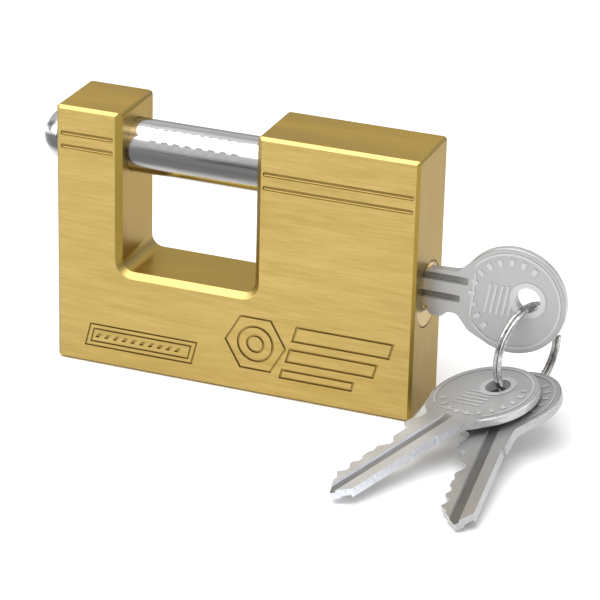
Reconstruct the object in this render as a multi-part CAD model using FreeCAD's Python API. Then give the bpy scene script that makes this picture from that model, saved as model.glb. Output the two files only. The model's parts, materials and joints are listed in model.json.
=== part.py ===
import FreeCAD, Part
import math
import os

# Straight-bolt padlock: a brass block with a U notch, a steel bolt that crosses the notch,
# a pin-tumbler cylinder in the right end, and three keys on a split ring.
# Millimetres. Origin: middle of the body's underside. +X is the key end, -Y the front, +Z up.

# ---- lock body
BODY_LENGTH = 84.8
BODY_THICKNESS = 18.2
BODY_HEIGHT = 60.9
RIGHT_END = BODY_LENGTH / 2
LEFT_END = -RIGHT_END
FRONT = -BODY_THICKNESS / 2
BACK = -FRONT
POST_WIDTH = 15.5
NOTCH_LEFT = LEFT_END + POST_WIDTH
NOTCH_WIDTH = 31.95
NOTCH_RIGHT = NOTCH_LEFT + NOTCH_WIDTH
NOTCH_FLOOR = 23.6
NOTCH_CORNER_RADIUS = 2.8
NOTCH_TOP_ROUND = 1.3
NOTCH_FLARE_FRONT = 1.3
NOTCH_FLARE_BACK = 0.6
EDGE_CHAMFER = 0.7
CORNER_TOP = 0.8
CORNER_BOTTOM = 1.0

# ---- engraved lines and ornaments on the front
GROOVE_RADIUS = 0.5
GROOVE_END_GAP = 0.9
POST_GROOVE_HEIGHTS = (54.6, 51.5)
BLOCK_GROOVE_HEIGHTS = (52.6, 49.4)
ENGRAVE_DEPTH = 0.35
ENGRAVE_WIDTH = 0.55
HATCH_X0, HATCH_X1 = -35.7, -9.4
HATCH_Z0, HATCH_Z1 = 4.3, 10.0
HATCH_LEAN = 1.4
HATCH_FRAME_INSETS = (0.0, 1.1)
HATCH_FRAME_WIDTH = 0.385
STROKE_COUNT = 10
STROKE_START = 2.6
STROKE_PITCH = 2.15
STROKE_WIDTH = 0.9
STROKE_LEAN = 0.9
STROKE_MARGIN = 2.3
EMBLEM_X = 5.8
EMBLEM_Z = 12.2
HEXAGON_RADIUS = 7.4
EMBLEM_RING_RADII = (4.4, 2.2)
# three outlined bars: left, right, bottom, top
BARS = ((14.2, 37.2, 14.2, 18.2), (12.8, 33.7, 9.0, 12.6), (11.4, 28.7, 4.9, 7.4))
BAR_LEAN_PER_HEIGHT = 0.28

# ---- bolt
BOLT_RADIUS = 6.15
BOLT_BORE_CLEARANCE = 0.07
BOLT_BORE_END_GAP = 0.6
BOLT_Z = 50.95
BOLT_LEFT_STICK_OUT = 1.5
BOLT_DOME_DEPTH = 5.0
BOLT_TAIL_CHAMFER = 0.4
BOLT_TRAVEL = 41.0
# rows of stamped dashes: degrees up the front, number, length, half height
BOLT_MARK_ROWS = ((28.0, 8, 1.5, 0.75), (58.0, 10, 1.0, 0.6))
BOLT_MARK_DEPTH = 0.22
BOLT_MARK_LEFT_MARGIN = 6.0
BOLT_MARK_RIGHT_MARGIN = 6.5
STOP_PIN_X = -34.5
STOP_PIN_RADIUS = 1.5
STOP_PIN_TIP_Y = 4.75
STOP_GROOVE_DEPTH_Y = 4.5
STOP_GROOVE_CLEARANCE = 0.15

# ---- latch, its spring and the plug that closes its bore
LATCH_X = 9.7
LATCH_RADIUS = 3.0
LATCH_BORE_RADIUS = 3.06
LATCH_BOTTOM = 15.0
LATCH_SHOULDER = BOLT_Z - 6.9
LATCH_TOP = BOLT_Z - 3.3
LATCH_DROP = 3.4
TONGUE_HALF = 1.5
SLOT_SIDE_CLEARANCE = 0.15
SLOT_TOP_CLEARANCE = 0.2
BOLT_FLANGE = 2.25
WINDOW_X = 9.9
WINDOW_HEIGHT = 8.4
LATCH_SPRING_RADIUS = 2.3
LATCH_SPRING_WIRE = 0.3
LATCH_SPRING_TURNS = 7
LATCH_PLUG_HEIGHT = 5.0

# ---- cylinder
HOUSING_RADIUS = 7.5
HOUSING_BORE_RADIUS = 7.55
HOUSING_Z = 27.3
HOUSING_RIM_CHAMFER = 0.2
HOUSING_INNER_END = 13.0
HOUSING_FACE_RECESS = 0.1
CAVITY_END = 8.9
PLUG_Z = 29.2
PLUG_RADIUS = 5.1
PLUG_CLEARANCE = 0.06
PLUG_FLANGE_RADIUS = 5.4
PLUG_FLANGE_DEPTH = 1.2
DISH_RADIUS = 5.1
DISH_FLOOR_RADIUS = 4.2
DISH_DEPTH = 0.8
KEYWAY_END = 14.2
KEYWAY_HALF = 1.1
KEYWAY_MARGIN = 0.1
TENON_HALF = 1.7
TENON_LENGTH = 1.2
CAM_THICKNESS = 2.7
CAM_BASE = 2.4
CAM_FACE_GAP = 0.2
CAM_NOSE_LEAN = 0.5
CAM_NOSE_RISE = 0.3
CAM_FLANK_STEPS = 12
LEDGE_GAP = 0.12
CAM_SCREW_HEAD_RADIUS = 1.5
CAM_SCREW_SHANK_RADIUS = 0.8
CAM_SCREW_END = 13.9
RETAINING_PIN_X = 15.6
RETAINING_PIN_RADIUS = 1.25
RETAINING_PIN_TOP = 22.4

# ---- pin stacks, numbered from the key end
PIN_COUNT = 5
FIRST_PIN_X = 35.9
PIN_PITCH = 4.2
PIN_RADIUS = 1.3
CHAMBER_RADIUS = 1.36
CHAMBER_TOP = PLUG_Z + 1.4
KEY_PIN_BOTTOM = PLUG_Z - 4.85
KEY_PIN_TIP_GAP = 0.08
KEY_PIN_CONE = 0.95
KEY_PIN_TIP_RADIUS = 0.35
DRIVER_TOP = PLUG_Z - 5.2
DRIVER_LENGTH = 3.2
PIN_SPRING_RADIUS = 1.0
PIN_SPRING_WIRE = 0.17
PIN_SPRING_TURNS = 10
CHAMBER_PLUG_HEIGHT = 7.0
SPRING_END_GAP = 0.12

# ---- keys; a key's own frame has its origin at the bow's centre, the blade towards -X,
# the spine towards +Z and its thickness along Y
BOW_RADIUS = 12.15
BOW_HALF = 1.0
BOW_EDGE_ROUND = 0.35
RELIEF = 0.14
RELIEF_ROOT = 0.05
BLADE_HALF = 1.0
KEY_HOLE_X = 3.6
KEY_HOLE_Z = 0.85
KEY_HOLE_RADIUS = 2.8
HOLE_RIM_RADIUS = 4.1
BORDER_RADIUS = 11.05
BORDER_WIDTH = 0.5
BOW_BAR_X = -8.6
BOW_BAR_REACH = 5.2
BOW_BAR_LEAN = 0.9
BOW_BAR_WIDTH = 0.5
FAN_DASH_COUNT = 11
FAN_DASH_START = 58.0
FAN_DASH_STEP = 17.0
FAN_DASH_INNER = 8.2
FAN_DASH_OUTER = 9.7
FAN_DASH_HALF = 0.5
BOW_STRIPE_COUNT = 5
BOW_STRIPE_START = -6.3
BOW_STRIPE_PITCH = 1.35
BOW_STRIPE_WIDTH = 0.55
BOW_STRIPE_Z0, BOW_STRIPE_Z1 = -3.6, 3.4
BOW_STRIPE_LEAN = 1.2
BLADE_SPINE = 3.9
BLADE_CUT_SIDE = -4.3
BLADE_TIP = -47.0
TIP_POINT = (0.3, 0.4)
TIP_SHOULDER = (-43.7, 0.5)
SHOULDER_START = -19.1
# neck between blade and bow: x, z and corner radius, below and then above the blade
NECK_LOWER = (
    (SHOULDER_START, BLADE_CUT_SIDE, 0.0),
    (SHOULDER_START, -5.4, 0.3),
    (-18.3, -6.4, 0.8),
    (-15.9, -6.4, 0.8),
    (-14.4, -5.1, 1.2),
    (-12.4, -5.1, 1.6),
    (-9.6, -8.6, 3.0),
    (-4.5, -11.2, 0.0),
)
NECK_UPPER = (
    (-4.5, 8.0, 0.0),
    (-9.0, 7.9, 0.0),
    (-12.2, 4.8, 2.6),
    (SHOULDER_START, 4.5, 0.3),
    (SHOULDER_START, BLADE_SPINE, 0.0),
)
BOW_CENTRE_X = 61.64
BOW_CENTRE_Z = PLUG_Z + 0.15
CUT_DEPTHS = (1.7, 0.4, 0.9, 1.3, 1.8)
CUT_FLAT = 0.5
BLADE_GROOVE_DEPTH = 0.5
GROOVE_CUTTER_RADIUS = 14.0
GROOVE_FLARE = 0.25
GROOVE_CUTTER_OVER = 0.1
# milled grooves of the blade: side, height, half width, where the cutter stops
BLADE_GROOVES = ((-1, 2.75, 0.8, -13.6), (-1, -1.6, 0.75, -15.4), (1, 0.0, 1.15, -14.4))

# ---- split ring and the two keys that hang on it
RING_RADIUS = 10.56
RING_WIRE_RADIUS = 0.5
RING_PITCH = 1.06
RING_CENTRE = FreeCAD.Vector(65.45, 0.2, 17.83)
RING_TURN = 20.17
RING_CROSSING_START = 318.0
RING_CROSSING_END = 356.0
RING_START_TURN = 138.0
RING_PATH_STEPS = 96
SPARE_KEYS = {
    "spare_key_1": {"hole": (61.72, -7.22, 10.88), "yaw": 64.84, "tilt": 9.81, "roll": -6.68},
    "spare_key_2": {"hole": (64.42, -3.9, 8.77), "yaw": 94.54, "tilt": 7.91, "roll": -14.42},
}

V = FreeCAD.Vector
X_AXIS, Y_AXIS, Z_AXIS = V(1, 0, 0), V(0, 1, 0), V(0, 0, 1)
OVER = 1.0
BOLT_TAIL = LATCH_X + TONGUE_HALF + SLOT_SIDE_CLEARANCE + BOLT_FLANGE
BOLT_HEAD = LEFT_END - BOLT_LEFT_STICK_OUT
HOUSING_FACE = RIGHT_END - HOUSING_FACE_RECESS
CAM_OUTER = HOUSING_INNER_END - CAM_FACE_GAP
CAM_INNER = CAM_OUTER - CAM_THICKNESS
PIN_XS = [FIRST_PIN_X - PIN_PITCH * number for number in range(PIN_COUNT)]


# ---------------------------------------------------------------- helpers
def box(x0, x1, y0, y1, z0, z1):
    return Part.makeBox(x1 - x0, y1 - y0, z1 - z0, V(x0, y0, z0))


def rod_x(x0, x1, radius, z, y=0.0):
    return Part.makeCylinder(radius, x1 - x0, V(x0, y, z), X_AXIS)


def rod_y(y0, y1, radius, x, z):
    return Part.makeCylinder(radius, y1 - y0, V(x, y0, z), Y_AXIS)


def rod_z(z0, z1, radius, x, y=0.0):
    return Part.makeCylinder(radius, z1 - z0, V(x, y, z0), Z_AXIS)


def rounded_wire(corners, y):
    """Closed outline in the XZ plane at y; each corner is (x, z, radius)."""
    stretches = []
    count = len(corners)
    for index, (x, z, radius) in enumerate(corners):
        here = V(x, y, z)
        before = corners[index - 1]
        after = corners[(index + 1) % count]
        to_before = (V(before[0], y, before[1]) - here).normalize()
        to_after = (V(after[0], y, after[1]) - here).normalize()
        if radius == 0:
            stretches.append((here, None, here))
            continue
        half = to_before.getAngle(to_after) / 2
        bisector = (to_before + to_after).normalize()
        reach = radius / math.tan(half)
        middle = here + bisector * (radius / math.sin(half) - radius)
        stretches.append((here + to_before * reach, middle, here + to_after * reach))
    edges = []
    for index, (start, middle, end) in enumerate(stretches):
        if middle is not None:
            edges.append(Part.Arc(start, middle, end).toShape())
        following = stretches[(index + 1) % count][0]
        if end.distanceToPoint(following) > 1e-6:
            edges.append(Part.LineSegment(end, following).toShape())
    return Part.Wire(edges)


def plate(corners, y0, y1):
    """Prism from y0 to y1 over a rounded outline."""
    return Part.Face(rounded_wire(corners, y0)).extrude(V(0, y1 - y0, 0))


def turned(profile, centre, axis):
    """Solid of revolution from a list of (along, radius) points about an axis."""
    side = Z_AXIS if axis != Z_AXIS else X_AXIS
    points = [centre + axis * along + side * radius for along, radius in profile]
    outline = Part.makePolygon(points + [points[0]])
    return Part.Face(outline).revolve(centre, axis, 360)


def coil(radius, wire_radius, height, turns):
    """Round-wire coil about +Z, starting at the origin's plane."""
    path = Part.Wire(Part.makeHelix(height / turns, height, radius).Edges)
    climb = math.atan2(height / turns, 2 * math.pi * radius)
    direction = V(0, math.cos(climb), math.sin(climb))
    section = Part.Wire(Part.makeCircle(wire_radius, V(radius, 0, 0), direction))
    return Part.Solid(path.makePipeShell([section], True, True))


# ---------------------------------------------------------------- lock body
def notch_outline(grow, y):
    """The open notch as a region that runs out past the top, grown sideways and down."""
    top = BODY_HEIGHT + OVER
    corner = NOTCH_CORNER_RADIUS + grow
    return rounded_wire([
        (NOTCH_LEFT - grow, top, 0),
        (NOTCH_LEFT - grow, NOTCH_FLOOR - grow, corner),
        (NOTCH_RIGHT + grow, NOTCH_FLOOR - grow, corner),
        (NOTCH_RIGHT + grow, top, 0),
    ], y)


def notch_flare(face_y, inward, grow):
    """45 degree chamfer round the notch on the front or back face."""
    outer = notch_outline(grow, face_y)
    inner = notch_outline(0.0, face_y + inward * grow)
    return Part.makeLoft([outer, inner], True, True)


def top_edge_rounding(x, side):
    """What is cut away to round a notch edge on the top; side points into the brass."""
    radius = NOTCH_TOP_ROUND
    low, high = sorted((x - side * OVER, x + side * radius))
    corner = box(low, high, FRONT - OVER, BACK + OVER, BODY_HEIGHT - radius, BODY_HEIGHT + OVER)
    keep = rod_y(FRONT - OVER, BACK + OVER, radius, x + side * radius, BODY_HEIGHT - radius)
    return corner.cut(keep)


def engraved_line(x0, x1, z):
    """Half-round groove with ball ends on the front face."""
    groove = rod_x(x0, x1, GROOVE_RADIUS, z, FRONT)
    ends = [Part.makeSphere(GROOVE_RADIUS, V(x, FRONT, z)) for x in (x0, x1)]
    return groove.multiFuse(ends)


def front_lines():
    cuts = []
    post_right = NOTCH_LEFT - NOTCH_FLARE_FRONT - GROOVE_END_GAP
    block_left = NOTCH_RIGHT + NOTCH_FLARE_FRONT + GROOVE_END_GAP
    margin = EDGE_CHAMFER + GROOVE_END_GAP
    for z in POST_GROOVE_HEIGHTS:
        cuts.append(engraved_line(LEFT_END + margin, post_right, z))
    for z in BLOCK_GROOVE_HEIGHTS:
        cuts.append(engraved_line(block_left, RIGHT_END - margin, z))
    return cuts


def engraved_frame(outer, inner):
    depth = FRONT + ENGRAVE_DEPTH
    return plate(outer, FRONT - OVER, depth).cut(plate(inner, FRONT - OVER, depth))


def slanted(x0, x1, z0, z1, lean, inset=0.0):
    """Corners of a parallelogram that leans to the right by lean over its height."""
    slope = lean / (z1 - z0)
    skew = inset * math.hypot(1, slope)
    low, high = inset * slope, lean - inset * slope
    return [
        (x0 + skew + low, z0 + inset, 0.0),
        (x1 - skew + low, z0 + inset, 0.0),
        (x1 - skew + high, z1 - inset, 0.0),
        (x0 + skew + high, z1 - inset, 0.0),
    ]


def hatched_plate():
    """Double slanted frame filled with slanted strokes, low on the left."""
    frame = (HATCH_X0, HATCH_X1, HATCH_Z0, HATCH_Z1, HATCH_LEAN)
    cuts = []
    for inset in HATCH_FRAME_INSETS:
        outer = slanted(*frame, inset)
        inner = slanted(*frame, inset + HATCH_FRAME_WIDTH)
        cuts.append(engraved_frame(outer, inner))
    for number in range(STROKE_COUNT):
        left = HATCH_X0 + STROKE_START + STROKE_PITCH * number
        stroke = slanted(left, left + STROKE_WIDTH, HATCH_Z0 + STROKE_MARGIN,
                         HATCH_Z1 - STROKE_MARGIN, STROKE_LEAN)
        cuts.append(plate(stroke, FRONT - OVER, FRONT + ENGRAVE_DEPTH))
    return cuts


def hexagon(x, z, radius):
    return [(x + radius * math.cos(math.radians(60 * side)),
             z + radius * math.sin(math.radians(60 * side)), 0) for side in range(6)]


def emblem():
    """Hexagon with two rings inside, and three outlined bars beside it, low on the right."""
    depth = FRONT + ENGRAVE_DEPTH
    outer = hexagon(EMBLEM_X, EMBLEM_Z, HEXAGON_RADIUS)
    inner = hexagon(EMBLEM_X, EMBLEM_Z, HEXAGON_RADIUS - ENGRAVE_WIDTH)
    cuts = [engraved_frame(outer, inner)]
    for radius in EMBLEM_RING_RADII:
        disc = rod_y(FRONT - OVER, depth, radius, EMBLEM_X, EMBLEM_Z)
        core = rod_y(FRONT - OVER, depth, radius - ENGRAVE_WIDTH, EMBLEM_X, EMBLEM_Z)
        cuts.append(disc.cut(core))
    for x0, x1, z0, z1 in BARS:
        lean = BAR_LEAN_PER_HEIGHT * (z1 - z0)
        outer = slanted(x0, x1, z0, z1, lean)
        inner = slanted(x0, x1, z0, z1, lean, ENGRAVE_WIDTH)
        cuts.append(engraved_frame(outer, inner))
    return cuts


def body_bores():
    bolt_bore = BOLT_RADIUS + BOLT_BORE_CLEARANCE
    cuts = [
        rod_x(LEFT_END - OVER, BOLT_TAIL + BOLT_BORE_END_GAP, bolt_bore, BOLT_Z),
        rod_x(CAVITY_END, RIGHT_END + OVER, HOUSING_BORE_RADIUS, HOUSING_Z),
        rod_z(-OVER, BOLT_Z, LATCH_BORE_RADIUS, LATCH_X),
        rod_z(-OVER, RETAINING_PIN_TOP, RETAINING_PIN_RADIUS, RETAINING_PIN_X),
        rod_y(0.0, BACK + OVER, STOP_PIN_RADIUS, STOP_PIN_X, BOLT_Z),
    ]
    cuts += [rod_z(-OVER, HOUSING_Z, CHAMBER_RADIUS, x) for x in PIN_XS]
    return cuts


def lock_body():
    outline = [
        (LEFT_END, 0.0, CORNER_BOTTOM),
        (LEFT_END, BODY_HEIGHT, CORNER_TOP),
        (RIGHT_END, BODY_HEIGHT, CORNER_TOP),
        (RIGHT_END, 0.0, CORNER_BOTTOM),
    ]
    block = plate(outline, FRONT, BACK)
    rims = [edge for edge in block.Edges if edge.BoundBox.YLength < 1e-6]
    block = block.makeChamfer(EDGE_CHAMFER, rims)
    notch = Part.Face(notch_outline(0.0, FRONT - OVER)).extrude(V(0, BODY_THICKNESS + 2 * OVER, 0))
    cuts = [
        notch,
        notch_flare(FRONT, 1, NOTCH_FLARE_FRONT),
        notch_flare(BACK, -1, NOTCH_FLARE_BACK),
        top_edge_rounding(NOTCH_LEFT, -1),
        top_edge_rounding(NOTCH_RIGHT, 1),
    ]
    cuts += body_bores() + front_lines() + hatched_plate() + emblem()
    for cutter in cuts:
        block = block.cut(cutter)
    return block


# ---------------------------------------------------------------- bolt and its stop
def bolt_marks():
    """Two rows of shallow dashes stamped in the upper front of the bolt."""
    first = NOTCH_LEFT + BOLT_MARK_LEFT_MARGIN
    last = NOTCH_RIGHT - BOLT_MARK_RIGHT_MARGIN
    marks = []
    for angle, count, length, half_height in BOLT_MARK_ROWS:
        pitch = (last - first) / (count - 1)
        for number in range(count):
            x = first + pitch * number
            mark = box(x - length / 2, x + length / 2, -BOLT_RADIUS - OVER,
                       BOLT_MARK_DEPTH - BOLT_RADIUS, -half_height, half_height)
            mark.rotate(V(0, 0, 0), X_AXIS, -angle)
            mark.translate(V(0, 0, BOLT_Z))
            marks.append(mark)
    return marks


def bolt():
    centre = V(0, 0, BOLT_Z)
    tip = V(BOLT_HEAD - BOLT_DOME_DEPTH, 0, BOLT_Z)
    rim = V(BOLT_HEAD, 0, BOLT_Z + BOLT_RADIUS)
    bulge = (BOLT_RADIUS ** 2 + BOLT_DOME_DEPTH ** 2) / (2 * BOLT_DOME_DEPTH)
    half_angle = math.asin(BOLT_RADIUS / bulge) / 2
    arc_centre = tip + X_AXIS * bulge
    middle = arc_centre + V(-math.cos(half_angle), 0, math.sin(half_angle)) * bulge
    shoulder = V(BOLT_TAIL - BOLT_TAIL_CHAMFER, 0, BOLT_Z + BOLT_RADIUS)
    tail = V(BOLT_TAIL, 0, BOLT_Z + BOLT_RADIUS - BOLT_TAIL_CHAMFER)
    axis_end = V(BOLT_TAIL, 0, BOLT_Z)
    outline = Part.Wire([
        Part.Arc(tip, middle, rim).toShape(),
        Part.LineSegment(rim, shoulder).toShape(),
        Part.LineSegment(shoulder, tail).toShape(),
        Part.LineSegment(tail, axis_end).toShape(),
        Part.LineSegment(axis_end, tip).toShape(),
    ])
    shape = Part.Face(outline).revolve(centre, X_AXIS, 360)
    slot_half = TONGUE_HALF + SLOT_SIDE_CLEARANCE
    slot = box(LATCH_X - slot_half, LATCH_X + slot_half, -BOLT_RADIUS - OVER, BOLT_RADIUS + OVER,
               BOLT_Z - BOLT_RADIUS - OVER, LATCH_TOP + SLOT_TOP_CLEARANCE)
    groove_half = STOP_PIN_RADIUS + STOP_GROOVE_CLEARANCE
    groove_ends = (STOP_PIN_X, STOP_PIN_X + BOLT_TRAVEL)
    groove = box(groove_ends[0], groove_ends[1], STOP_GROOVE_DEPTH_Y, BOLT_RADIUS + OVER,
                 BOLT_Z - groove_half, BOLT_Z + groove_half)
    rounds = [rod_y(STOP_GROOVE_DEPTH_Y, BOLT_RADIUS + OVER, groove_half, x, BOLT_Z)
              for x in groove_ends]
    for cutter in [slot, groove] + rounds + bolt_marks():
        shape = shape.cut(cutter)
    return shape


def bolt_stop_pin():
    return rod_y(STOP_PIN_TIP_Y, BACK, STOP_PIN_RADIUS, STOP_PIN_X, BOLT_Z)


# ---------------------------------------------------------------- latch
def latch():
    shape = rod_z(LATCH_BOTTOM, LATCH_SHOULDER, LATCH_RADIUS, LATCH_X)
    tongue = rod_z(LATCH_SHOULDER, LATCH_TOP, LATCH_RADIUS, LATCH_X)
    tongue = tongue.common(box(LATCH_X - TONGUE_HALF, LATCH_X + TONGUE_HALF,
                               -LATCH_RADIUS, LATCH_RADIUS, LATCH_SHOULDER, LATCH_TOP))
    window = box(WINDOW_X, LATCH_X + LATCH_RADIUS + OVER, -LATCH_RADIUS - OVER,
                 LATCH_RADIUS + OVER, PLUG_Z - CAM_BASE - LEDGE_GAP, PLUG_Z + WINDOW_HEIGHT)
    return shape.fuse(tongue).removeSplitter().cut(window)


def latch_spring():
    start = LATCH_PLUG_HEIGHT + LATCH_SPRING_WIRE + SPRING_END_GAP
    end = LATCH_BOTTOM - LATCH_SPRING_WIRE - SPRING_END_GAP
    spring = coil(LATCH_SPRING_RADIUS, LATCH_SPRING_WIRE, end - start, LATCH_SPRING_TURNS)
    spring.translate(V(LATCH_X, 0, start))
    return spring


def latch_bore_plug():
    return rod_z(0.0, LATCH_PLUG_HEIGHT, LATCH_BORE_RADIUS, LATCH_X)


# ---------------------------------------------------------------- cylinder
def cylinder_housing():
    shape = rod_x(HOUSING_INNER_END, HOUSING_FACE, HOUSING_RADIUS, HOUSING_Z)
    rim = [edge for edge in shape.Edges if abs(edge.CenterOfMass.x - HOUSING_FACE) < 1e-6]
    shape = shape.makeChamfer(HOUSING_RIM_CHAMFER, rim)
    barrel = rod_x(HOUSING_INNER_END - OVER, HOUSING_FACE + OVER,
                   PLUG_RADIUS + PLUG_CLEARANCE, PLUG_Z)
    flange = rod_x(HOUSING_FACE - PLUG_FLANGE_DEPTH - PLUG_CLEARANCE, HOUSING_FACE + OVER,
                   PLUG_FLANGE_RADIUS + PLUG_CLEARANCE, PLUG_Z)
    pin_hole = rod_z(0.0, RETAINING_PIN_TOP, RETAINING_PIN_RADIUS, RETAINING_PIN_X)
    chambers = [rod_z(0.0, PLUG_Z, CHAMBER_RADIUS, x) for x in PIN_XS]
    for cutter in [barrel, flange, pin_hole] + chambers:
        shape = shape.cut(cutter)
    return shape


def plug():
    shape = rod_x(HOUSING_INNER_END, HOUSING_FACE, PLUG_RADIUS, PLUG_Z)
    flange = rod_x(HOUSING_FACE - PLUG_FLANGE_DEPTH, HOUSING_FACE, PLUG_FLANGE_RADIUS, PLUG_Z)
    tenon = box(HOUSING_INNER_END - TENON_LENGTH, HOUSING_INNER_END, -TENON_HALF, TENON_HALF,
                PLUG_Z - TENON_HALF, PLUG_Z + TENON_HALF)
    shape = shape.multiFuse([flange, tenon]).removeSplitter()
    dish = Part.makeCone(DISH_FLOOR_RADIUS, DISH_RADIUS, DISH_DEPTH,
                         V(HOUSING_FACE - DISH_DEPTH, 0, PLUG_Z), X_AXIS)
    spine = BOW_CENTRE_Z + BLADE_SPINE
    cut_side = BOW_CENTRE_Z + BLADE_CUT_SIDE
    keyway = box(KEYWAY_END, RIGHT_END + OVER, -KEYWAY_HALF, KEYWAY_HALF,
                 cut_side - KEYWAY_MARGIN, spine + KEYWAY_MARGIN)
    screw_hole = rod_x(HOUSING_INNER_END - TENON_LENGTH - OVER, CAM_SCREW_END,
                       CAM_SCREW_SHANK_RADIUS, PLUG_Z)
    chambers = [rod_z(0.0, CHAMBER_TOP, CHAMBER_RADIUS, x) for x in PIN_XS]
    for cutter in [dish, keyway, screw_hole] + chambers:
        shape = shape.cut(cutter)
    return shape


def cam_outline(x):
    """Lobe whose reach grows evenly over a quarter turn: the involute of a circle."""
    growth = LATCH_DROP / (math.pi / 2)
    points = []
    for step in range(CAM_FLANK_STEPS + 1):
        angle = math.pi / 2 * step / CAM_FLANK_STEPS
        reach = CAM_BASE + growth * angle
        y = reach * math.sin(angle) + growth * math.cos(angle)
        z = -reach * math.cos(angle) + growth * math.sin(angle)
        points.append(V(x, y, PLUG_Z + z))
    flank = Part.BSplineCurve()
    flank.interpolate(points)
    start, tip = points[0], points[-1]
    diagonal = CAM_BASE * math.sqrt(0.5)
    bottom = V(x, 0, PLUG_Z - CAM_BASE)
    far = V(x, -CAM_BASE, PLUG_Z)
    bottom_left = V(x, -diagonal, PLUG_Z - diagonal)
    top = V(x, 0, PLUG_Z + CAM_BASE)
    top_left = V(x, -diagonal, PLUG_Z + diagonal)
    nose = V(x, tip.y - CAM_NOSE_LEAN, tip.z + CAM_NOSE_RISE)
    return Part.Wire([
        flank.toShape(),
        Part.LineSegment(tip, nose).toShape(),
        Part.LineSegment(nose, top).toShape(),
        Part.Arc(top, top_left, far).toShape(),
        Part.Arc(far, bottom_left, bottom).toShape(),
        Part.LineSegment(bottom, start).toShape(),
    ])


def cam_screw():
    centre = V(0, 0, PLUG_Z)
    head = CAM_SCREW_HEAD_RADIUS - CAM_SCREW_SHANK_RADIUS
    profile = [
        (CAM_INNER, 0.0),
        (CAM_INNER, CAM_SCREW_HEAD_RADIUS),
        (CAM_INNER + head, CAM_SCREW_SHANK_RADIUS),
        (CAM_SCREW_END, CAM_SCREW_SHANK_RADIUS),
        (CAM_SCREW_END, 0.0),
    ]
    return turned(profile, centre, X_AXIS)


def tail_cam():
    shape = Part.Face(cam_outline(CAM_INNER)).extrude(V(CAM_THICKNESS, 0, 0))
    tenon_hole = box(HOUSING_INNER_END - TENON_LENGTH, HOUSING_INNER_END, -TENON_HALF, TENON_HALF,
                     PLUG_Z - TENON_HALF, PLUG_Z + TENON_HALF)
    return shape.cut(tenon_hole).cut(cam_screw())


def cylinder_retaining_pin():
    return rod_z(0.0, RETAINING_PIN_TOP, RETAINING_PIN_RADIUS, RETAINING_PIN_X)


# ---------------------------------------------------------------- pin stacks
def key_pin(index):
    top = BOW_CENTRE_Z + BLADE_CUT_SIDE + CUT_DEPTHS[index] - KEY_PIN_TIP_GAP
    profile = [
        (KEY_PIN_BOTTOM, 0.0),
        (KEY_PIN_BOTTOM, PIN_RADIUS),
        (top - KEY_PIN_CONE, PIN_RADIUS),
        (top, KEY_PIN_TIP_RADIUS),
        (top, 0.0),
    ]
    return turned(profile, V(PIN_XS[index], 0, 0), Z_AXIS)


def driver_pin(index):
    return rod_z(DRIVER_TOP - DRIVER_LENGTH, DRIVER_TOP, PIN_RADIUS, PIN_XS[index])


def pin_spring(index):
    start = CHAMBER_PLUG_HEIGHT + PIN_SPRING_WIRE + SPRING_END_GAP
    end = DRIVER_TOP - DRIVER_LENGTH - PIN_SPRING_WIRE - SPRING_END_GAP
    spring = coil(PIN_SPRING_RADIUS, PIN_SPRING_WIRE, end - start, PIN_SPRING_TURNS)
    spring.translate(V(PIN_XS[index], 0, start))
    return spring


def chamber_plugs():
    plugs = [rod_z(0.0, CHAMBER_PLUG_HEIGHT, CHAMBER_RADIUS, x) for x in PIN_XS]
    return Part.makeCompound(plugs)


# ---------------------------------------------------------------- keys
def blade_corners():
    """Blade and neck outline, from the tip along the cut side and back on the spine."""
    spine_end, spine_round = TIP_SHOULDER
    tip_z, tip_round = TIP_POINT
    corners = [(spine_end, BLADE_SPINE, spine_round), (BLADE_TIP, tip_z, tip_round)]
    for index in reversed(range(PIN_COUNT)):
        x = PIN_XS[index] - BOW_CENTRE_X
        root = BLADE_CUT_SIDE + CUT_DEPTHS[index]
        spread = CUT_FLAT + CUT_DEPTHS[index]
        if index < PIN_COUNT - 1:
            corners.append((x - spread, BLADE_CUT_SIDE, 0))
        corners.append((x - CUT_FLAT, root, 0))
        corners.append((x + CUT_FLAT, root, 0))
        corners.append((x + spread, BLADE_CUT_SIDE, 0))
    return corners + list(NECK_LOWER) + list(NECK_UPPER)


def blade_groove(side, z, half_height, end_x):
    """Milled groove along the blade with the run-out of a round cutter at its end."""
    floor = BLADE_HALF - BLADE_GROOVE_DEPTH
    outer = BLADE_HALF + RELIEF + GROOVE_CUTTER_OVER
    widen = GROOVE_FLARE * (outer - floor)
    profile = [(floor, -half_height), (outer, -half_height - widen),
               (outer, half_height + widen), (floor, half_height)]
    start = BLADE_TIP - OVER
    along = Part.Face(Part.makePolygon(
        [V(start, side * y, z + height) for y, height in profile + profile[:1]]))
    straight = along.extrude(V(end_x - start, 0, 0))
    axis_y = side * (floor + GROOVE_CUTTER_RADIUS)
    disc = Part.Face(Part.makePolygon(
        [V(end_x, side * y, z + height) for y, height in profile + profile[:1]]))
    cutter = disc.revolve(V(end_x, axis_y, z), Z_AXIS, 360)
    return straight.fuse(cutter)


def relief_depths(side):
    """Y range of the raised relief on one side of the bow, lowest first."""
    return sorted((side * (BOW_HALF - RELIEF_ROOT), side * (BOW_HALF + RELIEF)))


def ring_relief(outer, inner, x, z, side):
    low, high = relief_depths(side)
    return rod_y(low, high, outer, x, z).cut(rod_y(low, high, inner, x, z))


def fan_dashes(side):
    low, high = relief_depths(side)
    dashes = []
    for number in range(FAN_DASH_COUNT):
        dash = box(FAN_DASH_INNER, FAN_DASH_OUTER, low, high, -FAN_DASH_HALF, FAN_DASH_HALF)
        dash.rotate(V(0, 0, 0), Y_AXIS, -FAN_DASH_START - FAN_DASH_STEP * number)
        dashes.append(dash)
    return dashes


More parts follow.
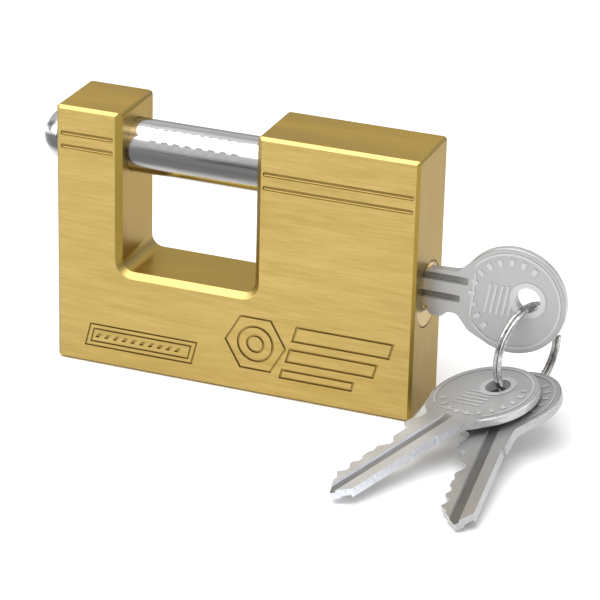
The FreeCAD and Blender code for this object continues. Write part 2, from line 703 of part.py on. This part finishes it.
def bow_stripes(side):
    low, high = relief_depths(side)
    stripes = []
    for number in range(BOW_STRIPE_COUNT):
        x = BOW_STRIPE_START + BOW_STRIPE_PITCH * number
        outline = slanted(x, x + BOW_STRIPE_WIDTH, BOW_STRIPE_Z0, BOW_STRIPE_Z1, BOW_STRIPE_LEAN)
        stripes.append(plate(outline, low, high))
    return stripes


def bow_relief(side):
    """Raised border, hole rim, cross bar, fan of dashes and stripes on one side of the bow."""
    low, high = relief_depths(side)
    border = ring_relief(BORDER_RADIUS, BORDER_RADIUS - BORDER_WIDTH, 0, 0, side)
    border = border.cut(box(-BOW_RADIUS, BOW_BAR_X, -OVER - BOW_HALF, OVER + BOW_HALF,
                            -BOW_RADIUS, BOW_RADIUS))
    rim = ring_relief(HOLE_RIM_RADIUS, KEY_HOLE_RADIUS, KEY_HOLE_X, KEY_HOLE_Z, side)
    bar = plate(slanted(BOW_BAR_X - BOW_BAR_LEAN, BOW_BAR_X - BOW_BAR_LEAN + BOW_BAR_WIDTH,
                        -BOW_BAR_REACH, BOW_BAR_REACH, BOW_BAR_LEAN), low, high)
    return [border, rim, bar] + fan_dashes(side) + bow_stripes(side)


def key_shape():
    bow = rod_y(-BOW_HALF, BOW_HALF, BOW_RADIUS, 0, 0)
    rims = [edge for edge in bow.Edges if edge.BoundBox.YLength < 1e-6]
    bow = bow.makeFillet(BOW_EDGE_ROUND, rims)
    blade = plate(blade_corners(), -BLADE_HALF, BLADE_HALF)
    shape = bow.fuse(blade).removeSplitter()
    shape = shape.multiFuse(bow_relief(-1) + bow_relief(1))
    cuts = [rod_y(-BOW_HALF - OVER, BOW_HALF + OVER, KEY_HOLE_RADIUS, KEY_HOLE_X, KEY_HOLE_Z)]
    cuts += [blade_groove(*groove) for groove in BLADE_GROOVES]
    for cutter in cuts:
        shape = shape.cut(cutter)
    return shape


def spare_key_placement(hole, yaw, tilt, roll):
    """Puts a key's hole centre at a point, blade pointing down and forward by the angles."""
    yaw, tilt, roll = (math.radians(angle) for angle in (yaw, tilt, roll))
    along = V(math.cos(yaw) * math.cos(tilt), math.sin(yaw) * math.cos(tilt), math.sin(tilt))
    level = (Z_AXIS - along * along.z).normalize()
    thick = level * math.cos(roll) + along.cross(level) * math.sin(roll)
    spine = along.cross(thick)
    origin = V(*hole) - along * KEY_HOLE_X - spine * KEY_HOLE_Z
    return FreeCAD.Placement(FreeCAD.Matrix(
        along.x, thick.x, spine.x, origin.x,
        along.y, thick.y, spine.y, origin.y,
        along.z, thick.z, spine.z, origin.z,
        0, 0, 0, 1))


def ring_wire_point(angle):
    """Wire centre line about +Z: two flat turns joined by one smooth crossing."""
    share = (angle - RING_CROSSING_START) / (RING_CROSSING_END - RING_CROSSING_START)
    share = min(1.0, max(0.0, share))
    level = share * share * (3 - 2 * share) - 0.5
    turn = math.radians(angle)
    return V(RING_RADIUS * math.cos(turn), RING_RADIUS * math.sin(turn), RING_PITCH * level)


def split_ring():
    """Double ring of round wire standing on edge through the three key holes."""
    last = RING_CROSSING_END + RING_CROSSING_START
    stations = [last * step / RING_PATH_STEPS for step in range(RING_PATH_STEPS + 1)]
    route = Part.BSplineCurve()
    route.interpolate([ring_wire_point(angle) for angle in stations])
    path = Part.Wire([route.toShape()])
    start = ring_wire_point(0.0)
    section = Part.Wire(Part.makeCircle(RING_WIRE_RADIUS, start, route.tangent(0.0)[0]))
    ring = Part.Solid(path.makePipeShell([section], True, False))
    ring.rotate(V(0, 0, 0), Z_AXIS, RING_START_TURN)
    ring.rotate(V(0, 0, 0), Y_AXIS, 90)
    ring.rotate(V(0, 0, 0), Z_AXIS, -RING_TURN)
    ring.translate(RING_CENTRE)
    return ring


# ---------------------------------------------------------------- nodes
def all_nodes():
    nodes = {
        "lock_body": lock_body(),
        "bolt": bolt(),
        "bolt_stop_pin": bolt_stop_pin(),
        "latch": latch(),
        "latch_spring": latch_spring(),
        "latch_bore_plug": latch_bore_plug(),
        "cylinder_housing": cylinder_housing(),
        "cylinder_retaining_pin": cylinder_retaining_pin(),
        "plug": plug(),
        "tail_cam": tail_cam(),
        "cam_screw": cam_screw(),
        "chamber_plugs": chamber_plugs(),
        "split_ring": split_ring(),
    }
    for index in range(PIN_COUNT):
        nodes["key_pin_%d" % (index + 1)] = key_pin(index)
        nodes["driver_pin_%d" % (index + 1)] = driver_pin(index)
        nodes["pin_spring_%d" % (index + 1)] = pin_spring(index)
    key = key_shape()
    inserted = key.copy()
    inserted.translate(V(BOW_CENTRE_X, 0, BOW_CENTRE_Z))
    nodes["inserted_key"] = inserted
    for name, place in SPARE_KEYS.items():
        spare = key.copy()
        spare.Placement = spare_key_placement(**place)
        nodes[name] = spare
    return nodes


os.makedirs("parts", exist_ok=True)
for node_name, node_shape in all_nodes().items():
    node_shape.exportStep("parts/%s.step" % node_name)
    print("%-24s valid %s solids %d volume %.1f" % (
        node_name, node_shape.isValid(), len(node_shape.Solids), node_shape.Volume))
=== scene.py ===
"""Looks of a brass straight-bolt padlock with its keys: materials, springs, light, floor and camera."""
import json
import math

import bpy
from mathutils import Matrix, Vector


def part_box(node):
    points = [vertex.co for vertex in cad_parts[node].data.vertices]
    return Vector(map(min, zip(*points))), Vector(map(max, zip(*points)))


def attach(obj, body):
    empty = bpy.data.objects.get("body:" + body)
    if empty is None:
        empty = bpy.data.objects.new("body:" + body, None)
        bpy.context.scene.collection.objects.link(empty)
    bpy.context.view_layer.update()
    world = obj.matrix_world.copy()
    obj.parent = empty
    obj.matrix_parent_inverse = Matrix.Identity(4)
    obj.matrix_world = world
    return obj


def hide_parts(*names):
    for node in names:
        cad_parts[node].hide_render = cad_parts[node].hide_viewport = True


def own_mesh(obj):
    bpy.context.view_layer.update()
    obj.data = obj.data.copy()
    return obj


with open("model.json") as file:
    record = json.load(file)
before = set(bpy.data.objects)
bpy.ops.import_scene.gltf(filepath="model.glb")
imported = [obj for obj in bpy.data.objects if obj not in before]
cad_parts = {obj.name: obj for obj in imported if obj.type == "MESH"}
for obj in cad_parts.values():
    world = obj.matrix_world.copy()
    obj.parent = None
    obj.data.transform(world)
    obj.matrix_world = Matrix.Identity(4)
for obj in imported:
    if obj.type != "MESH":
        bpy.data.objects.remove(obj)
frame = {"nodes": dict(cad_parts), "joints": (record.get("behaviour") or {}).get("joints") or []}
NODES = frame["nodes"]
JOINTS = {joint["name"]: joint for joint in frame["joints"]}
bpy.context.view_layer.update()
MM = 0.001


def middle(node):
    low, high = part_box(node)
    return (low + high) / 2


def half_depth(node):
    low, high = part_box(node)
    return (high.y - low.y) / 2


# ---- places worked from the frame, and small sizes measured from them
BODY_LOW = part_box("lock_body")[0]
BOLT_AXIS = middle("bolt")
HOUSING_AXIS = middle("cylinder_housing")
HOUSING_RADIUS = half_depth("cylinder_housing")
PLUG_AXIS = middle("plug")
PLUG_RADIUS = half_depth("plug")
FRONT = BODY_LOW.y
ENGRAVING_FLOOR = FRONT + 0.2 * MM
ENGRAVING_END = FRONT + 0.52 * MM
GAP_SHADE_START = 0.28 * MM
GAP_SHADE_FULL = 0.18 * MM
KEY_HALF = 1.0 * MM
KEY_RELIEF = 0.03 * MM
BLADE_START = 16 * MM
BLADE_FULL = 24 * MM
GRAIN_DEPTH = 0.03 * MM
KEY_GRAIN_DEPTH = 0.02 * MM
GROUND_DEPTH = 0.04 * MM
WELD_REACH = 0.001 * MM
EDGE_WIDTH = 0.12 * MM
EDGE_ANGLE = 35.0
PIN_COUNT = 5

# ---- camera: the point it looks at, where it stands and how it is turned
AIM = Vector((12.57, 0.155, 20.3)) * MM
CAMERA_AZIMUTH = 20.77
CAMERA_ELEVATION = 23.73
CAMERA_ROLL = 1.47
CAMERA_DISTANCE = 676.0 * MM
CAMERA_LENS = 183.06
CAMERA_SENSOR = 36.0
CAMERA_CLIP_START = 0.05

# ---- light: name, place, width, height and power; every lamp looks at LIT_POINT
LIT_POINT = Vector((0, 0, 0.02))
SOFTBOXES = (
    ("overhead", (-0.10, -0.35, 0.95), 1.3, 1.0, 12.0),
    ("left", (-0.95, -0.45, 0.45), 0.6, 0.8, 3.5),
    ("right", (0.95, 0.15, 0.50), 0.5, 0.6, 2.5),
)
# room level by height of the view, from the horizon at 0 to straight up at 1
ROOM_LEVELS = ((0.0, 0.45), (0.15, 0.55), (0.45, 0.62), (1.0, 0.95))
ROOM_STRENGTH = 0.8
FLOOR_SIZE = 6.0
FLOOR_LEVEL = 0.95
FLOOR_ROUGHNESS = 0.85
FLOOR_SPECULAR = 0.1

# ---- brass of the lock body
BRASS_STROKE_DARK = (0.400, 0.286, 0.087)
BRASS_STROKE_LIGHT = (0.505, 0.370, 0.130)
# painted shade: ends and their chamfers darker, by how far a face turns along X
BRASS_SHADE_BY_END_FACING = (
    (0.50, (0.45, 0.325, 0.10)),
    (0.70, (0.30, 0.21, 0.045)),
    (0.95, (0.32, 0.205, 0.032)),
)
# painted highlight: top and its chamfers lighter, by how far a face turns along Z
BRASS_HIGHLIGHT_BY_TOP_FACING = (
    (0.50, (0.46, 0.34, 0.11)),
    (0.70, (0.52, 0.39, 0.14)),
    (0.95, (0.69, 0.46, 0.088)),
)
# painted shade in the engraving cut into the front face
BRASS_ENGRAVING_SHADE = (0.20, 0.135, 0.035)
BRASS_CLOUD = (0.36, 0.255, 0.07)
ENGRAVING_SHADE_STRENGTH = 0.75
CLOUD_STRENGTH = 0.12
# painted shade: dark line in the gap round the housing and plug rims
GAP_SHADE_BRASS = (0.03, 0.02, 0.006)

# ---- chrome of the bolt
# Painted reflection bands round the bolt, as judged: degrees up from the front, and lightness
BOLT_REFLECTION_BANDS = (
    (-30, 0.5),               # grey underside, from here down
    (-15, 0.1), (10, 0.1),    # broad dark band low in front
    (20, 0.9), (30, 0.9),     # narrower light band above it
    (40, 0.3),                # grey line
    (50, 0.9), (70, 0.9),     # white band high in front
    (75, 0.6),                # thin greyer line
    (85, 0.9),                # light top
    (100, 0.5),               # grey behind, from here on
)
REFLECTION_BAND_WOBBLE = 0.008
BOLT_SMEAR_LEVEL = 0.30
BOLT_SMEAR_STRENGTH = 0.12

# ---- nickel of the keys: share of the key's level at each distance from its middle plane, with painted shade in the milled grooves and a painted highlight on the raised relief
KEY_SHADE_AND_HIGHLIGHT_LEVELS = (
    (0.50 * MM, 0.34),
    (0.80 * MM, 0.48),
    (0.98 * MM, 0.55),
    (1.00 * MM, 1.00),
    (1.07 * MM, 1.00),
    (1.12 * MM, 1.30),
)
KEY_CLOUD_LEVEL = 0.80
# painted highlight on the key rims, grained between these shares
KEY_RIM_HIGHLIGHT_LOW = 1.05
KEY_RIM_HIGHLIGHT_HIGH = 1.30
# painted shade: dark outline on the walls of the raised relief
KEY_OUTLINE_SHADE = 0.40
KEY_METALLIC = 0.55
PLAIN = (1.0, 1.0, 1.0)
# painted light: the first spare key's blade made lighter and bluer
BLADE_PAINTED_LIGHT = (1.24, 1.27, 1.36)


# ---------------------------------------------------------------- node graphs
class Graph:
    """A material's node tree with short calls to add and link nodes."""

    def __init__(self, name):
        self.material = bpy.data.materials.new(name)
        self.material.use_nodes = True
        self.tree = self.material.node_tree
        self.tree.nodes.clear()
        self.output = self.tree.nodes.new("ShaderNodeOutputMaterial")
        self.coordinates = self.tree.nodes.new("ShaderNodeTexCoord")

    def link(self, source, target):
        self.tree.links.new(source, target)

    def feed(self, socket, value):
        """Links a socket to another node's output, or sets its value."""
        if isinstance(value, bpy.types.NodeSocket):
            self.link(value, socket)
        else:
            socket.default_value = value

    def noise(self, stretch, detail=3.0, roughness=0.55):
        """Noise in object coordinates, with this many cells per metre along each axis."""
        mapping = self.tree.nodes.new("ShaderNodeMapping")
        mapping.inputs["Scale"].default_value = stretch
        self.link(self.coordinates.outputs["Object"], mapping.inputs["Vector"])
        node = self.tree.nodes.new("ShaderNodeTexNoise")
        node.inputs["Scale"].default_value = 1.0
        node.inputs["Detail"].default_value = detail
        node.inputs["Roughness"].default_value = roughness
        self.link(mapping.outputs["Vector"], node.inputs["Vector"])
        return node.outputs["Fac"]

    def ramp(self, value, stops):
        """Colour ramp; stops are (position, colour)."""
        node = self.tree.nodes.new("ShaderNodeValToRGB")
        set_stops(node, stops)
        self.link(value, node.inputs["Fac"])
        return node.outputs["Color"]

    def math(self, operation, first, second=0.0, third=0.0):
        node = self.tree.nodes.new("ShaderNodeMath")
        node.operation = operation
        for socket, value in zip(node.inputs, (first, second, third)):
            self.feed(socket, value)
        return node.outputs["Value"]

    def between(self, value, low, high, low_out=0.0, high_out=1.0):
        """Maps value from low..high to low_out..high_out, held at the ends."""
        node = self.tree.nodes.new("ShaderNodeMapRange")
        node.inputs["From Min"].default_value = low
        node.inputs["From Max"].default_value = high
        node.inputs["To Min"].default_value = low_out
        node.inputs["To Max"].default_value = high_out
        self.feed(node.inputs["Value"], value)
        return node.outputs["Result"]

    def mix(self, share, first, second, blend="MIX"):
        """Mixes two colours; each is a node's output or a triple."""
        node = self.tree.nodes.new("ShaderNodeMix")
        node.data_type = "RGBA"
        node.blend_type = blend
        self.feed(node.inputs["Factor"], share)
        sockets = [socket for socket in node.inputs if socket.type == "RGBA"]
        for socket, colour in zip(sockets, (first, second)):
            self.feed(socket, (*colour, 1.0) if isinstance(colour, tuple) else colour)
        return [socket for socket in node.outputs if socket.type == "RGBA"][0]

    def mix_value(self, share, first, second):
        """Mixes two plain values."""
        node = self.tree.nodes.new("ShaderNodeMix")
        node.data_type = "FLOAT"
        self.feed(node.inputs[0], share)
        self.feed(node.inputs[2], first)
        self.feed(node.inputs[3], second)
        return node.outputs[0]

    def axis(self, output, name):
        """One axis, X, Y or Z, of the surface normal or of the place on the object."""
        node = self.tree.nodes.new("ShaderNodeSeparateXYZ")
        self.link(self.coordinates.outputs[output], node.inputs["Vector"])
        return node.outputs[name]

    def facing(self, name):
        """Size of the surface normal along X, Y or Z."""
        return self.math("ABSOLUTE", self.axis("Normal", name))

    def vector_math(self, operation, vector, other):
        node = self.tree.nodes.new("ShaderNodeVectorMath")
        node.operation = operation
        node.inputs[1].default_value = other
        self.link(vector, node.inputs[0])
        return node

    def along(self, output, direction, origin):
        """Size of a vector's part along a direction, measured from an origin."""
        shift = self.vector_math("SUBTRACT", self.coordinates.outputs[output], origin)
        product = self.vector_math("DOT_PRODUCT", shift.outputs["Vector"], direction)
        return self.math("ABSOLUTE", product.outputs["Value"])

    def distance(self, centre):
        place = self.coordinates.outputs["Object"]
        return self.vector_math("DISTANCE", place, centre).outputs["Value"]

    def offsets(self, centre):
        """How far a place is towards the front of, and above, a line along X through a centre."""
        front = self.math("SUBTRACT", centre.y, self.axis("Object", "Y"))
        height = self.math("SUBTRACT", self.axis("Object", "Z"), centre.z)
        return front, height

    def radius(self, centre):
        """Distance from a line along X through a centre."""
        front, height = self.offsets(centre)
        square = self.math("MULTIPLY", front, front)
        return self.math("SQRT", self.math("MULTIPLY_ADD", height, height, square))

    def turn(self, centre):
        """Angle round a line along X, as a share of a full turn; a half faces the front."""
        front, height = self.offsets(centre)
        angle = self.math("ARCTAN2", height, front)
        return self.math("MULTIPLY_ADD", angle, 0.5 / math.pi, 0.5)

    def bump(self, height, strength, distance):
        node = self.tree.nodes.new("ShaderNodeBump")
        node.inputs["Strength"].default_value = strength
        node.inputs["Distance"].default_value = distance
        self.feed(node.inputs["Height"], height)
        return node.outputs["Normal"]

    def metal(self, colour, roughness, normal, anisotropy=0.0, metallic=1.0):
        shader = self.tree.nodes.new("ShaderNodeBsdfPrincipled")
        shader.inputs["Metallic"].default_value = metallic
        shader.inputs["Anisotropic"].default_value = anisotropy
        self.feed(shader.inputs["Base Color"], colour)
        self.feed(shader.inputs["Roughness"], roughness)
        self.link(normal, shader.inputs["Normal"])
        self.link(shader.outputs["BSDF"], self.output.inputs["Surface"])
        return self.material


def set_stops(ramp_node, stops):
    elements = ramp_node.color_ramp.elements
    while len(elements) < len(stops):
        elements.new(0.5)
    for element, (position, colour) in zip(elements, stops):
        element.position = position
        element.color = (*colour, 1.0)


def shade(level):
    return (level, level, level)


# ---------------------------------------------------------------- materials
def brass_streaks(graph):
    """Short lengthwise strokes in front and behind, and upright ones on the ends."""
    long_fine = graph.noise((150, 1500, 3000), 4.0, 0.6)
    long_wide = graph.noise((45, 400, 500))
    end_fine = graph.noise((300, 2600, 110), 4.0, 0.6)
    end_wide = graph.noise((60, 420, 30))
    on_end = graph.between(graph.facing("X"), 0.75, 0.95)
    fine = graph.mix_value(on_end, long_fine, end_fine)
    wide = graph.mix_value(on_end, long_wide, end_wide)
    return graph.math("ADD", graph.math("MULTIPLY", fine, 0.6), graph.math("MULTIPLY", wide, 0.4))


def engraving_shade_share(graph):
    """Mask of painted shade: one on the walls and floors of what is cut into the front face, else
    nothing.
    """
    depth = graph.axis("Object", "Y")
    shallow = graph.math("LESS_THAN", depth, ENGRAVING_END)
    sunk = graph.math("GREATER_THAN", depth, ENGRAVING_FLOOR)
    level = graph.between(graph.facing("Y"), 0.80, 0.95)
    wall = graph.between(graph.facing("Y"), 0.60, 0.40)
    cut = graph.math("MAXIMUM", wall, graph.math("MULTIPLY", sunk, level))
    return graph.math("MULTIPLY", shallow, cut)


def brushed_brass():
    """Block brass: brushed in front, with painted shade on the ends, calm with a painted highlight on
    top, and painted shade in the engraving.
    """
    graph = Graph("brushed_brass")
    streak = brass_streaks(graph)
    cloud = graph.noise((45, 45, 45), 2.0, 0.5)
    tone = graph.ramp(streak, [(0.34, BRASS_STROKE_DARK), (0.66, BRASS_STROKE_LIGHT)])
    # painted shade on the ends and a painted highlight on top, by the way each face turns
    for name, stops in (("X", BRASS_SHADE_BY_END_FACING), ("Z", BRASS_HIGHLIGHT_BY_TOP_FACING)):
        facing = graph.facing(name)
        tone = graph.mix(graph.between(facing, 0.3, 0.6), tone, graph.ramp(facing, stops))
    # painted shade on the walls and floors of the engraving
    engraving_shade = graph.math("MULTIPLY", engraving_shade_share(graph), ENGRAVING_SHADE_STRENGTH)
    tone = graph.mix(engraving_shade, tone, BRASS_ENGRAVING_SHADE)
    tone = graph.mix(graph.between(cloud, 0.3, 0.7, 0.0, CLOUD_STRENGTH), tone, BRASS_CLOUD)
    roughness = graph.between(streak, 0.35, 0.65, 0.42, 0.34)
    return graph.metal(tone, roughness, graph.bump(streak, 0.20, GRAIN_DEPTH), 0.35)


def turned_brass(name, dark, light, cells, centre=None, rim=None):
    """Fine-turned brass, with painted shade as a dark line in the gap at the rim where a radius is
    given.
    """
    graph = Graph(name)
    fine = graph.noise((cells, cells, cells), 4.0, 0.6)
    tone = graph.mix(graph.between(fine, 0.35, 0.65), dark, light)
    if rim:
        # painted shade in the gap at the rim
        gap = graph.between(graph.radius(centre), rim - GAP_SHADE_START, rim - GAP_SHADE_FULL)
        tone = graph.mix(gap, tone, GAP_SHADE_BRASS)
    roughness = graph.between(fine, 0.35, 0.65, 0.20, 0.30)
    return graph.metal(tone, roughness, graph.bump(fine, 0.15, GRAIN_DEPTH))


def polished_chrome():
    """Plated bolt: lengthwise painted reflection bands of a studio mirror, with faint polishing marks.
    """
    graph = Graph("polished_chrome")
    lines = graph.noise((14, 900, 900), 3.0, 0.6)
    smears = graph.noise((90, 160, 160), 3.0, 0.5)
    wobble = graph.between(graph.noise((40, 300, 300)), 0.3, 0.7, -REFLECTION_BAND_WOBBLE, REFLECTION_BAND_WOBBLE)
    turn = graph.math("ADD", graph.turn(BOLT_AXIS), wobble)
    # painted reflections: lightness by the angle round the bolt
    bands = graph.ramp(turn, [(0.5 + angle / 360, shade(level)) for angle, level in BOLT_REFLECTION_BANDS])
    worn = graph.between(lines, 0.3, 0.7, 0.0, BOLT_SMEAR_STRENGTH)
    tone = graph.mix(worn, bands, shade(BOLT_SMEAR_LEVEL))
    roughness = graph.between(smears, 0.35, 0.7, 0.12, 0.24)
    return graph.metal(tone, roughness, graph.bump(lines, 0.12, GRAIN_DEPTH))


def satin_nickel(name, level, hole, face_normal, blade_light=PLAIN):
    """Stamped key: satin faces, painted highlight on relief and rims, painted shade as dark outlines
    and in milled grooves.
    """
    graph = Graph(name)
    grain = graph.noise((1700, 1700, 1700), 3.0, 0.6)
    cloud = graph.noise((160, 160, 160))
    depth = graph.along("Object", face_normal, hole)
    on_face = graph.between(graph.along("Normal", face_normal, (0, 0, 0)), 0.75, 0.92)
    deepest = 2 * KEY_HALF
    # painted shade in the grooves and painted highlight on the relief, by depth
    stops = [(place / deepest, shade(level * share)) for place, share in KEY_SHADE_AND_HIGHLIGHT_LEVELS]
    face = graph.ramp(graph.math("DIVIDE", depth, deepest), stops)
    cloudy = graph.between(cloud, 0.35, 0.65, 0.0, 0.25)
    face = graph.mix(cloudy, face, shade(level * KEY_CLOUD_LEVEL))
    # painted highlight on the rims
    rim_stops = [(0.35, shade(level * KEY_RIM_HIGHLIGHT_LOW)), (0.65, shade(level * KEY_RIM_HIGHLIGHT_HIGH))]
    # painted shade on the relief walls
    outline_shade = graph.between(depth, KEY_HALF, KEY_HALF + KEY_RELIEF)
    rim = graph.mix(outline_shade, graph.ramp(grain, rim_stops), shade(level * KEY_OUTLINE_SHADE))
    tone = graph.mix(on_face, rim, face)
    # painted light on the blade where one is given
    on_blade = graph.between(graph.distance(hole), BLADE_START, BLADE_FULL)
    tone = graph.mix(on_blade, tone, blade_light, "MULTIPLY")
    roughness = graph.between(cloud, 0.35, 0.65, 0.44, 0.34)
    return graph.metal(tone, roughness, graph.bump(grain, 0.3, KEY_GRAIN_DEPTH), metallic=KEY_METALLIC)


def steel(name, stretch, detail, levels, roughnesses, bump_strength, bump_distance):
    """Plain steel with a grain between two levels and two roughnesses."""
    graph = Graph(name)
    grain = graph.noise(stretch, detail, 0.6)
    tone = graph.mix(graph.between(grain, 0.35, 0.65), shade(levels[0]), shade(levels[1]))
    roughness = graph.between(grain, 0.3, 0.7, *roughnesses)
    return graph.metal(tone, roughness, graph.bump(grain, bump_strength, bump_distance))


def bright_steel():
    return steel("bright_steel", (700, 700, 700), 3.0, (0.32, 0.60), (0.16, 0.26), 0.1, GRAIN_DEPTH)


def dull_steel(name, levels, roughnesses):
    return steel(name, (500, 500, 1600), 4.0, levels, roughnesses, 0.2, GROUND_DEPTH)


# ---------------------------------------------------------------- surfaces of the CAD pieces
def dress(piece, material):
    piece.data.materials.clear()
    piece.data.materials.append(material)


def loose_key_nickel(node, level, blade_light=PLAIN):
    hinge = JOINTS[node + "_fan"]
    return satin_nickel("nickel_" + node, level, hinge["pos_m"], hinge["axis"], blade_light)


def dress_all():
    inner = turned_brass("inner_brass", (0.50, 0.35, 0.10), (0.62, 0.46, 0.16), 1200)
    ground = dull_steel("ground_steel", (0.20, 0.32), (0.30, 0.42))
    wire = dull_steel("spring_wire", (0.34, 0.48), (0.22, 0.32))
    looks = {
        "lock_body": brushed_brass(),
        "cylinder_housing": turned_brass("housing_brass", (0.36, 0.24, 0.055), (0.46, 0.32, 0.09),
                                         900, HOUSING_AXIS, HOUSING_RADIUS),
        "plug": turned_brass("plug_brass", (0.55, 0.36, 0.08), (0.75, 0.54, 0.16),
                             500, PLUG_AXIS, PLUG_RADIUS),
        "bolt": polished_chrome(),
        "split_ring": bright_steel(),
        # painted light and shade: the same nickel at a different level for each key, darkest on the
        # second spare key
        "inserted_key": satin_nickel("nickel_inserted_key", 0.44, (0, 0, 0), (0, 1, 0)),
        "spare_key_1": loose_key_nickel("spare_key_1", 0.46, BLADE_PAINTED_LIGHT),
        "spare_key_2": loose_key_nickel("spare_key_2", 0.37),
    }
    brass_parts = ("latch_bore_plug", "chamber_plugs", "key_pin", "driver_pin")
    for node, piece in NODES.items():
        if node in looks:
            dress(piece, looks[node])
        elif "spring" in node:
            dress(piece, wire)
        elif node.startswith(brass_parts):
            dress(piece, inner)
        else:
            dress(piece, ground)


def soften(piece, width):
    """Rounds a CAD piece's sharp edges a little, without touching its own vertices."""
    weld = piece.modifiers.new("weld", "WELD")
    weld.merge_threshold = WELD_REACH
    bevel = piece.modifiers.new("soft_edges", "BEVEL")
    bevel.width = width
    bevel.segments = 2
    bevel.limit_method = "ANGLE"
    bevel.angle_limit = math.radians(EDGE_ANGLE)


def live_spring(node):
    """Stands for a spring under a pin or latch: a copy of its mesh, held by the case, with the CAD
    piece hidden.
    """
    piece = bpy.data.objects.new(node + "_live", NODES[node].data.copy())
    bpy.context.scene.collection.objects.link(piece)
    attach(piece, "case")
    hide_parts(node)
    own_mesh(piece)


def live_springs():
    live_spring("latch_spring")
    for number in range(1, PIN_COUNT + 1):
        live_spring("pin_spring_%d" % number)


# ---------------------------------------------------------------- floor, light and camera
def floor():
    bpy.ops.mesh.primitive_plane_add(size=FLOOR_SIZE, location=(0, 0, BODY_LOW.z))
    plane = bpy.context.object
    plane.name = "floor"
    graph = Graph("pale_floor")
    shader = graph.tree.nodes.new("ShaderNodeBsdfPrincipled")
    shader.inputs["Base Color"].default_value = (*shade(FLOOR_LEVEL), 1.0)
    shader.inputs["Roughness"].default_value = FLOOR_ROUGHNESS
    shader.inputs["Specular IOR Level"].default_value = FLOOR_SPECULAR
    graph.link(shader.outputs["BSDF"], graph.output.inputs["Surface"])
    dress(plane, graph.material)


def surroundings():
    """Studio room: pale above, greyer towards the horizon."""
    world = bpy.data.worlds.new("studio")
    bpy.context.scene.world = world
    world.use_nodes = True
    tree = world.node_tree
    tree.nodes.clear()
    output = tree.nodes.new("ShaderNodeOutputWorld")
    background = tree.nodes.new("ShaderNodeBackground")
    coordinates = tree.nodes.new("ShaderNodeTexCoord")
    parts = tree.nodes.new("ShaderNodeSeparateXYZ")
    ramp = tree.nodes.new("ShaderNodeValToRGB")
    set_stops(ramp, [(height, shade(level)) for height, level in ROOM_LEVELS])
    background.inputs["Strength"].default_value = ROOM_STRENGTH
    tree.links.new(coordinates.outputs["Generated"], parts.inputs["Vector"])
    tree.links.new(parts.outputs["Z"], ramp.inputs["Fac"])
    tree.links.new(ramp.outputs["Color"], background.inputs["Color"])
    tree.links.new(background.outputs["Background"], output.inputs["Surface"])


def softbox(name, place, width, height, power):
    lamp = bpy.data.lights.new(name, "AREA")
    lamp.shape = "RECTANGLE"
    lamp.size = width
    lamp.size_y = height
    lamp.energy = power
    holder = bpy.data.objects.new(name, lamp)
    bpy.context.scene.collection.objects.link(holder)
    holder.location = place
    holder.rotation_euler = (LIT_POINT - Vector(place)).to_track_quat("-Z", "Y").to_euler()


def camera():
    azimuth = math.radians(CAMERA_AZIMUTH)
    elevation = math.radians(CAMERA_ELEVATION)
    roll = math.radians(CAMERA_ROLL)
    back = Vector((
        math.sin(azimuth) * math.cos(elevation),
        -math.cos(azimuth) * math.cos(elevation),
        math.sin(elevation),
    ))
    level_right = Vector((math.cos(azimuth), math.sin(azimuth), 0.0))
    right = level_right * math.cos(roll) + back.cross(level_right) * math.sin(roll)
    turn = Matrix((right, back.cross(right), back)).transposed()
    data = bpy.data.cameras.new("camera")
    data.lens = CAMERA_LENS
    data.sensor_width = CAMERA_SENSOR
    data.clip_start = CAMERA_CLIP_START
    holder = bpy.data.objects.new("camera", data)
    bpy.context.scene.collection.objects.link(holder)
    holder.matrix_world = Matrix.Translation(AIM + back * CAMERA_DISTANCE) @ turn.to_4x4()
    bpy.context.scene.camera = holder


dress_all()
soften(NODES["lock_body"], EDGE_WIDTH)
live_springs()
floor()
surroundings()
for box in SOFTBOXES:
    softbox(*box)
camera()
bpy.context.scene.view_settings.view_transform = "Standard"
